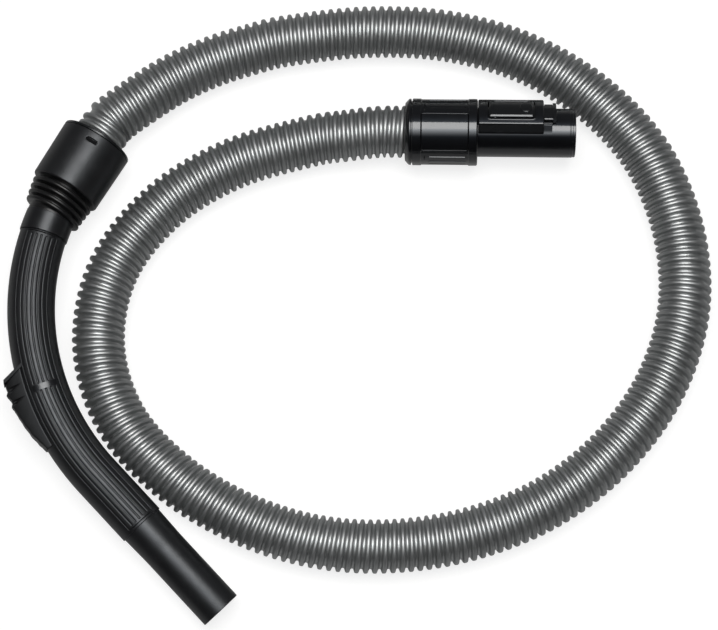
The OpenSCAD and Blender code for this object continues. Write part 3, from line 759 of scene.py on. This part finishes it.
def make_grip():
    """The tube with its spigot, both inlays, the band across the grip and the neck's sleeve."""
    ends = ((groove_from + 0.6, 1.2, 0.2), (band_mid, 4.2, 0.2), (groove_to - 0.6, 1.2, 0.2))
    fine = [(side * inlay_half, 2.6, 0.32) for side in (-1, 1)]
    back = [(180 - inlay_half, 2.6, 0.32), (-180 + inlay_half, 2.6, 0.32)]
    ss = spaced(tongue_from, spigot_end, 3, (neck_len, 0.05, 0.04), (neck_len + 0.35, 0.3, 0.1),
                (inlay_from + 0.6, 1.5, 0.15), (bleed_mid, 4.6, 0.4), (stem_mid, 10.4, 0.5),
                (inlay_to - 0.6, 1.5, 0.15), (shoulder_at - 0.27, 0.26, 0.09),
                (shoulder_at + 0.01, 0.012, 0.01), (shoulder_at + spigot_cone_len, 0.5, 0.5),
                (spigot_end - 0.35, 0.35, 0.09))
    ts = spaced(-180, 176, 4, *fine, *back, (90, 16, 1.3))
    piece(skin("grip_tube", on_handle, ss, ts, full, tube_top,
               lambda s, p: grip_bore_r if s < shoulder_at - 3 else spigot_bore_r, satin_black),
          "handle", "satin_black", "handle_tube")
    cols = spaced(-1, 1, 0.5, *[(k / 3, 0.085, 0.0085) for k in (-2, -1, 0, 1, 2)],
                  (-0.985, 0.015, 0.003), (0.985, 0.015, 0.003))
    rows = spaced(inlay_from, inlay_to, 4, *ends, (inlay_from + 0.8, 0.8, 0.1),
                  (inlay_to - 0.8, 0.8, 0.1))

    def across(s, t):
        narrow = rounded_in(min(s - inlay_from, inlay_to - s), inlay_corner)
        return t * (inlay_half - math.degrees(narrow / grip_r))

    for name, turn_by in (("grip_inlay_top", 0), ("grip_inlay_bottom", 180)):
        piece(skin(name + "_piece", on_handle, rows, cols,
                   lambda s, t, b=turn_by: b + across(s, t), inlay_top,
                   lambda s, p: grip_r - 1.1, grip_black, closed=False),
              "handle", "inlay_black", name)

    rows = spaced(band_mid - band_half + 0.1, band_mid + band_half - 0.1, 0.4)
    band = skin("grip_band", on_handle, rows, spaced(-31, 31, 1), full,
                lambda s, p: grip_r - inlay_sunk + 0.02, lambda s, p: grip_r - 0.4, ring_gloss,
                closed=False)
    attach(band, "handle")
    ss = spaced(0, neck_len - 0.35, 2.5, (0.4, 0.4, 0.1), (neck_len - 0.7, 0.35, 0.1))
    piece(skin("neck_ring", on_handle, ss, round_turn, full,
               lambda s, p: neck_r - edge(s, 0.6) - edge(neck_len - 0.35 - s, 0.45),
               lambda s, p: tongue_r + 0.05, neck_black), "handle", "satin_black",
          "neck_sleeve")


# ---------------------------------------------------------------- suction regulator
slider_from, slider_span, slider_half, slider_gap = 35.2, 18.4, 11.5, 0.3
# Its rounded sides: height at the edge, then the rise and its falling off towards the middle
side_from, side_rise, side_round, ridge_blend = -3.8, 2.6, 0.11, 1.2
# Height over the grip at each angle past the slider's start
slider_line = [(0.7, 2.0), (1.2, 4.0), (1.7, 5.7), (2.5, 7.3), (2.85, 8.3), (3.25, 9.1),
               (3.8, 8.9), (4.35, 8.5), (4.65, 9.6), (4.95, 10.3), (5.3, 9.9), (5.7, 9.1),
               (6.25, 8.2), (6.9, 7.9), (7.15, 8.8), (7.4, 9.4), (7.75, 9.1), (8.15, 8.4),
               (9.5, 7.5), (11.35, 6.4), (13.9, 4.7), (16.2, 2.6), (17.6, 1.1), (18.4, 0.35)]
# Depth of a thumb notch across it, in shares of its reach
notch_line = [(-1, 0), (-0.2, 1), (0.25, 0.25), (0.7, 0.8), (1.4, 0)]
# The notches' places, with how they lean, and how far in from the sides they reach
notches, notch_in = ((3.75, 0.07), (6.55, 0.05)), 7.4
# The fin's section: angle and height of its corners; then its lean, half width and taper
fin_shape = [(-0.55, -6.7), (2.05, 9.6), (2.85, 9.6), (0.25, -6.7)]
fin_lean, fin_half, fin_taper = 0.16, 14.1, 0.33


def line_at(points, x):
    """Height of a line through points that turns smoothly at each of them."""
    for (x0, y0), (x1, y1) in zip(points, points[1:]):
        if x <= x1:
            f = max(0, (x - x0) / (x1 - x0))
            f = f * f * (3 - 2 * f)
            return y0 + (y1 - y0) * f
    return points[-1][1]


def on_slider(a, h, z):
    """a: degrees past the slider's start; h: mm from the bend's centre; z: across."""
    p = grip_c - h * left_of(bellows_bend + slider_from + a)
    return collar_frame @ Vector((p.x, p.y, z))


def make_slider():
    """The slider with its ridges and side notches, and the thumb fin round the grip."""
    outer = grip_bend_r + grip_r

    def top(a, z):
        side = slider_half - abs(z)
        slope = side_from + side_rise * side - side_round * side ** 2
        low, k = line_at(slider_line, a), ridge_blend
        for mid, lean in notches:
            reach = 0.55 * max(0, min(1, (slope + 2) / 10))
            u = (a - mid - lean * slope) / max(reach, 0.01)
            if side < notch_in and reach > 0.05 and -1 < u < 1.4:
                slope -= 7 * reach * line_at(notch_line, u) * min(1, (notch_in - side) / 1.6)
        h = max(k - abs(low - slope), 0) / k
        return max(outer + min(low, slope) - h * h * k / 4, bottom(a, z) + 0.05)

    def bottom(a, z):
        return grip_bend_r + math.sqrt((grip_r + slider_gap) ** 2 - z * z)

    rows = spaced(0.7, slider_span, 0.3, (5.3, 3, 0.07))
    cols = spaced(-slider_half, slider_half, 0.4)
    body = skin("regulator_slider", on_slider, rows, cols, full, top, bottom, slider_black,
                closed=False, sharp=50)
    piece(body, "regulator", "slider_black", "slider")
    ring = []
    for i, (a0, h0) in enumerate(fin_shape):
        a1, h1 = fin_shape[(i + 1) % len(fin_shape)]
        ring += [(a0 + (a1 - a0) * f, h0 + (h1 - h0) * f) for f in (0.03, 0.97)]
    n, foot, verts, faces = len(ring), fin_shape[0][1], [], []
    levels = [-1, -0.97] + [k / 7 for k in range(-6, 7)] + [0.97, 1]
    for t in levels:
        for a, h in ring:
            z = t * (fin_half - fin_taper * (h - foot))
            low = bottom(a, z) - outer + 0.02
            if h < low:
                a, h = a + (low - h) * fin_lean, low
            if abs(t) == 1:
                a += 0.1 if a < 1.05 + fin_lean * (h - 1.5) else -0.1
            verts.append(on_slider(a, outer + h, z))
    for i in range(len(levels) - 1):
        for j in range(n):
            k = (j + 1) % n
            faces.append((i * n + j, i * n + k, (i + 1) * n + k, (i + 1) * n + j))
    faces.append(tuple(range(n)))
    faces.append(tuple(reversed(range((len(levels) - 1) * n, len(levels) * n))))
    fin = new_object("regulator_fin", verts, faces, fin_black, 30)
    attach(fin, "regulator")


# ---------------------------------------------------------------- machine cuff
cuff_from, cuff_end, zone_from, zone_to, zone_deep = 5.95, 55.75, 12.6, 48.8, 0.5
panel_half, panel_corner, hose_cuff_r, tube_r, tube_in = 33, 1.1, 22.5, 18.7, 16.3
# Inside the cuff: the hose's end, the bearing's room, then the tube with its clearance
room_from, room_to, room_r, tube_clear = 29.2, 49, 23.4, 0.7
# Finger grooves from panel to panel: their count, the first one's angle and the spacing
cuff_grooves, groove_first, groove_deg = 7, 48, 14
finger_from, finger_to, finger_half = 18.5, 47, 0.75
# A short notch beside each end of the upper panel
notch_at, notch_turn = 15.4, 49


def panel_gap(x, phi, grow=0.0):
    """Distance outside the nearer of the two panels; negative inside."""
    a = min(abs(wrapped(phi - panel_turn)), abs(wrapped(phi - panel_turn - 180)))
    mid, half = (zone_from + zone_to) / 2, (zone_to - zone_from) / 2 - 0.3
    return box_gap(x - mid, math.radians(a) * cuff_r, half + grow,
                   math.radians(panel_half) * cuff_r + grow, panel_corner + grow)


def cuff_top(x, phi):
    """The cuff: a sunk middle zone with the panels' seats, finger grooves and notches."""
    r = cuff_r - edge(x - cuff_from, 0.35) - edge(cuff_end - x, 1.3)
    zone = max(0, min(1, (x - zone_from + 0.3) / 0.5, (zone_to + 0.3 - x) / 0.5))
    r -= zone_deep * zone * zone * (3 - 2 * zone)
    r -= lip(panel_gap(x, phi, 0.3), 1.3, 0.4)
    a = abs(wrapped(phi - panel_turn))
    a = min(a, 180 - a)
    k = max(0, min(cuff_grooves - 1, round((a - groove_first) / groove_deg)))
    across = math.radians(a - groove_first - k * groove_deg) * cuff_r
    past = max(finger_from + finger_half - x, x - finger_to + finger_half, 0)
    d = math.hypot(across, past) / finger_half
    if wrapped(phi - panel_turn) < 0:
        r -= 0.6 * max(0, 1 - d ** 4)
    else:
        r -= 0.5 if d < 0.7 else 0
    for side in (-1, 1):
        notch = math.radians(wrapped(phi - panel_turn + side * notch_turn)) * cuff_r
        r -= lip(box_gap(x - notch_at, notch, 0.5, 2.6, 0.4), 1.0, 0.2)
    return r


def panel_top(x, phi):
    return cuff_r - 0.1 - edge(-panel_gap(x, phi), 0.55)


def cuff_bore(x, phi):
    if x < room_from:
        return hose_cuff_r + 0.05
    return room_r if x < room_to else tube_r + tube_clear


def make_cuff():
    """The cuff's shell, its two panels and the tapered cap at the hose."""
    rim = [(wrapped(panel_turn + side + s * panel_half), 2.2, 0.22)
           for side in (0, 180) for s in (-1, 1)]
    lines = [(wrapped(panel_turn + side + s * (groove_first + k * groove_deg)), 2.1, 0.35)
             for side in (0, 180) for s in (-1, 1) for k in range(4)]
    ts = spaced(-180, 176, 4, *lines, *rim)
    ss = spaced(cuff_from, cuff_end, 2.4, (cuff_from + 0.18, 0.18, 0.06),
                (zone_from + 0.3, 0.9, 0.1), (notch_at, 1.0, 0.12),
                (finger_from + 0.4, 0.7, 0.12), (finger_to - 0.4, 0.7, 0.12),
                (zone_to - 0.2, 0.9, 0.1), (cuff_end - 0.8, 0.8, 0.1))
    piece(skin("cuff_shell", on_cuff, ss, ts, full, cuff_top, cuff_bore, gloss_black),
          "line", "gloss_black", "machine_cuff")
    cols = spaced(-1, 1, 0.08, (-0.97, 0.03, 0.004), (0.97, 0.03, 0.004))
    p_from, p_to = zone_from + 0.3, zone_to - 0.3
    rows = spaced(p_from, p_to, 2.4, (p_from + 0.6, 0.6, 0.08), (p_to - 0.6, 0.6, 0.08))
    for name, by in (("cuff_panel_top", 0), ("cuff_panel_bottom", 180)):
        def across(s, t, by=by):
            narrow = rounded_in(min(s - p_from, p_to - s), panel_corner)
            return panel_turn + by + t * (panel_half - math.degrees(narrow / cuff_r))
        piece(skin(name + "_piece", on_cuff, rows, cols, across, panel_top,
                   lambda x, p: cuff_r - 1.6, panel_black, closed=False),
              "line", "panel_black", name)
    # The cap's radius at each place, from its thin lip at the hose to its tongue in the cuff
    cap = {0.25: 21.2, 0.5: 22.0, 0.85: 22.7, 1.5: 23.5, 2.3: 24.35, 3.0: 25.02, 3.35: 25.28,
           3.75: 25.42, 4.5: 25.46, 4.8: 25.32, 4.95: 24.9, 5.0: 23.9, 5.6: 23.9}
    lip_to = 1.2
    piece(skin("cap_ring", on_cuff, list(cap), round_turn, full, lambda x, p: cap[x],
               lambda x, p: min(cap[x] - 0.2, hose_cuff_r + 0.05) if x > lip_to
               else hose_r + 0.45, gloss_black, sharp=30),
          "line", "gloss_black", "cuff_cap")


# ---------------------------------------------------------------- machine tube
flange_from, flange_len, flange_r, tube_end = 29.6, 2.6, 22.4, 130.3
# A fine line round the tube, and the slightly slimmer last stretch
line_place, slim_len, slim_step = 126.3, 2.4, 0.3


def tube_r_at(x, phi):
    if x < flange_from + flange_len:
        return flange_r
    r = tube_r - edge(tube_end - x, 0.5)
    if x > tube_end - slim_len:
        r -= slim_step * min(1, (x - tube_end + slim_len) / 0.25)
    return r - 0.12 * max(0, 1 - abs(x - line_place) / 0.35)


def make_tube():
    """The tube that plugs into the machine, held in the cuff by its flange."""
    ss = spaced(flange_from, tube_end, 4, (flange_from + flange_len, 0.02, 0.02),
                (line_place, 0.5, 0.1), (tube_end - 2.3, 0.3, 0.1),
                (tube_end - 0.25, 0.25, 0.06))
    piece(skin("connector_tube", on_cuff, ss, [3.6 * k for k in range(100)], full, tube_r_at,
               lambda x, p: tube_in + edge(tube_end - x, 0.6), gloss_black),
          "connector", "gloss_black", "machine_tube")


# ---------------------------------------------------------------- latch
# The housing, in degrees from its middle: its top's half width and its foot's
latch_from, latch_to, latch_half, latch_foot, side_blend = 56.0, 105.8, 32.5, 49, 0.9
button_from, button_to, button_half, button_corner = 63.9, 98.3, 19.5, 1.9
button_mid, button_len = (button_from + button_to) / 2, button_to - button_from
button_rise, button_in, pad_x, pad_r, pad_rise = 0.8, 22.2, button_to - 6, 4.85, 0.6
# The ledge behind the hook, with a flat well between its sides
ledge_len, ledge_r, ledge_top_half, ledge_foot, well_r, well_half = 6.4, 20.2, 30, 46, 19.2, 29


def chord_r(phi, half, r, foot_half, foot_r):
    """The radius, at an angle, of the straight side through two points of a section."""
    a, t, f = (math.radians(v) for v in (min(abs(phi), 80), half, foot_half))
    p = Vector((math.sin(t), math.cos(t))) * r
    q = Vector((math.sin(f), math.cos(f))) * foot_r
    d = q - p
    at = (p.x * d.y - p.y * d.x) / (math.sin(a) * d.y - math.cos(a) * d.x)
    return at if at > 0 else 2 * r


def block_r(phi):
    """The housing's section: a round top between two flat sloping sides."""
    side = chord_r(phi, latch_half, cuff_r, latch_foot, tube_r)
    h = max(side_blend - abs(side - cuff_r), 0) / side_blend
    return min(side, cuff_r) - h * h * side_blend / 4


def button_gap(x, phi):
    """Distance outside the button's outline; negative inside."""
    return box_gap(x - button_mid, math.radians(phi) * cuff_r, button_len / 2,
                   math.radians(button_half) * cuff_r, button_corner)


def housing_top(x, phi):
    """The housing with the button's well and its fine rim, then the low ledge."""
    if x > latch_to:
        r = ledge_r - edge(latch_to + ledge_len - x, 0.4)
        r = min(r, chord_r(phi, ledge_top_half, ledge_r, ledge_foot, tube_r))
        if abs(phi) < well_half and x > latch_to + 0.25:
            r = min(r, well_r)
        return max(r, tube_r + 0.08)
    r = block_r(phi) - edge(x - latch_from, 1.1) - edge(latch_to - x, 1.0)
    gap = button_gap(x, phi)
    r += 0.07 * max(0, 1 - ((gap - 2.0) / 0.4) ** 2)
    if gap < 1.7:
        r -= 0.2
    return max(r - lip(gap - 0.65, 4.2, 0.3), tube_r + 0.08)


def button_top(x, phi):
    """A chamfered key with a raised round pad for the finger."""
    d = -button_gap(x, phi)
    r = cuff_r + button_rise - 0.42 * max(0, 1.55 - d) - edge(d, 0.35)
    pad = pad_r - math.hypot(x - pad_x, math.radians(phi) * cuff_r)
    return r + (pad_rise - edge(pad, pad_rise) if pad > 0 else 0)


hook_from, hook_to, hook_r, hook_neck_r, hook_in = 106.2, 115.2, 23.8, 23.6, 20.7
# The arm under the housing, the neck and the flange: half widths in degrees
arm_r, arm_half, neck_half, hook_half, hook_slit = 23.2, 16.5, 21.6, 25.5, (112.2, 112.55)


def hook_top(x, phi):
    """The hook's arm, its chamfered neck, a fine slit and the thin flange."""
    if x < hook_from:
        return arm_r
    if x < hook_slit[1]:
        d = (neck_half - abs(phi)) * 0.41
        r = hook_neck_r - 0.3 * max(0, 0.95 - d) - edge(d, 0.25)
        return r - (0.6 if x > hook_slit[0] else 0)
    return hook_r - edge(x - hook_slit[1], 0.3) - edge(hook_to - x, 0.35)


def make_latch():
    """The housing with its ledge, the button and the hook."""
    foot, well_edge, ledge_edge = 50, 22.3, 29.5
    ts = spaced(-foot, foot, 2.5, (-latch_half, 3, 0.5), (latch_half, 3, 0.5),
                (-well_edge, 3.6, 0.3), (well_edge, 3.6, 0.3),
                (-ledge_edge, 0.7, 0.3), (ledge_edge, 0.7, 0.3))
    ss = spaced(latch_from, latch_to + ledge_len, 2.2,
                (latch_from + 0.6, 0.6, 0.11), (button_from - 1.2, 2.2, 0.2),
                (button_to + 1.2, 2.2, 0.2), (latch_to - 0.55, 0.5, 0.1),
                (latch_to + 0.02, 0.02, 0.02), (latch_to + 0.25, 0.05, 0.05),
                (latch_to + ledge_len - 0.3, 0.3, 0.1))
    piece(skin("latch_block", on_latch, ss, ts, full, housing_top,
               lambda x, p: tube_r + 0.05, gloss_black, closed=False),
          "connector", "gloss_black", "latch_housing")
    cols = spaced(-1, 1, 0.035, (-0.96, 0.04, 0.006), (0.96, 0.04, 0.006))
    rows = spaced(button_from, button_to, 1.4, (button_from + 1, 1, 0.11),
                  (button_to - 1.15, 1.15, 0.11), (pad_x, 5.0, 0.16))

    def across(s, t):
        narrow = rounded_in(min(s - button_from, button_to - s), button_corner)
        return t * (button_half - math.degrees(narrow / cuff_r))

    piece(skin("latch_key", on_latch, rows, cols, across, button_top,
               lambda x, p: button_in, button_black, closed=False),
          "latch", "button_black", "latch_button")
    ss = spaced(button_to, hook_to, 1.4, (hook_from, 0.02, 0.02), (hook_slit[0], 0.02, 0.02),
                (hook_slit[1], 0.02, 0.02), (hook_slit[1] + 0.2, 0.15, 0.05),
                (hook_to - 0.2, 0.2, 0.07))

    def hook_span(s, t):
        return t * (arm_half if s < hook_from else neck_half if s < hook_slit[1] else hook_half)

    cols = spaced(-1, 1, 0.1, (-0.94, 0.06, 0.01), (0.94, 0.06, 0.01))
    piece(skin("latch_claw", on_latch, ss, cols, hook_span, hook_top,
               lambda x, p: hook_in, button_black, closed=False),
          "latch", "button_black", "latch_hook")


make_collar()
make_bellows()
make_grip()
make_slider()
make_cuff()
make_tube()
make_latch()

# The pieces inside keep their own solids
for name, material in (
        ("hose_cuff", hidden_plastic), ("swivel_seal", bellows_rubber),
        ("slider_clip", hidden_plastic), ("machine_hose_cuff", hidden_plastic),
        ("machine_ring", nylon), ("machine_seal", bellows_rubber),
        ("latch_pin", spring_steel), ("latch_spring", spring_steel)):
    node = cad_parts[name]
    node.data.materials.clear()
    node.data.materials.append(material)
